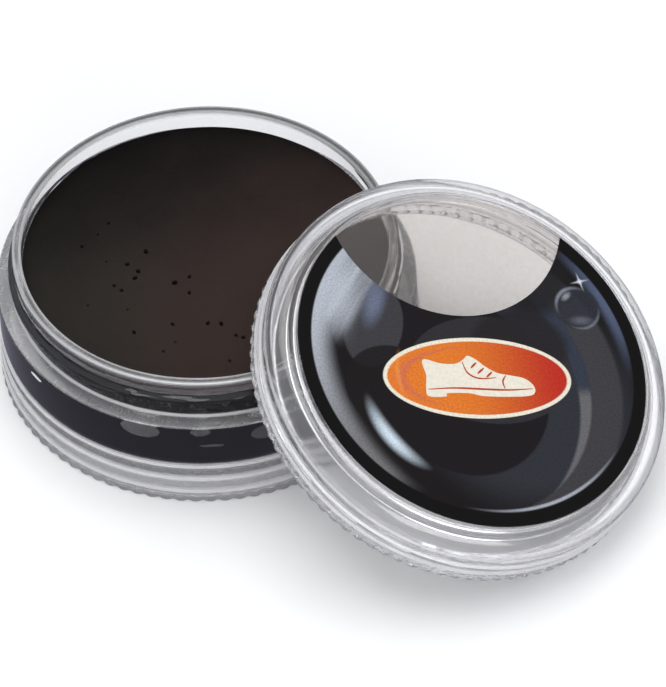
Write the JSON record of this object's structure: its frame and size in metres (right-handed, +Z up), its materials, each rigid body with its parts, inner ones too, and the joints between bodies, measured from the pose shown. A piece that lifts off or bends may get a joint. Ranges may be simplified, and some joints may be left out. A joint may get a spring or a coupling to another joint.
{
  "type": "screw-top polish jar",
  "caption": "Small clear screw-top jar of black shoe polish, its lid unscrewed and leaning against the jar with the label side up.",
  "frame": {"origin": "centre of the jar's foot ring, on the surface that the jar and the lid's edge rest on", "axes": "+Z up along the jar's axis; the lid leans on the +X, -Y side, and the usual view is from -Y, looking down"},
  "size_m": [0.0753, 0.0667, 0.0263],
  "materials": {
    "clear_plastic": "clear moulded polystyrene, polished",
    "polish": "matte black wax cake with small air pits",
    "paper": "plain satin label paper",
    "printed_label": "printed self-adhesive film, dark with an orange oval"
  },
  "bodies": {
    "root": {"jar": "clear_plastic", "polish": "polish", "base_label": "paper"},
    "lid": {"lid": "clear_plastic", "lid_label": "printed_label"}
  },
  "joints": [
    {"name": "lid_lift", "type": "slide", "parent": "root", "child": "lid", "axis": [0, 0, 1], "range_m": [0, 0.03]}
  ]
}
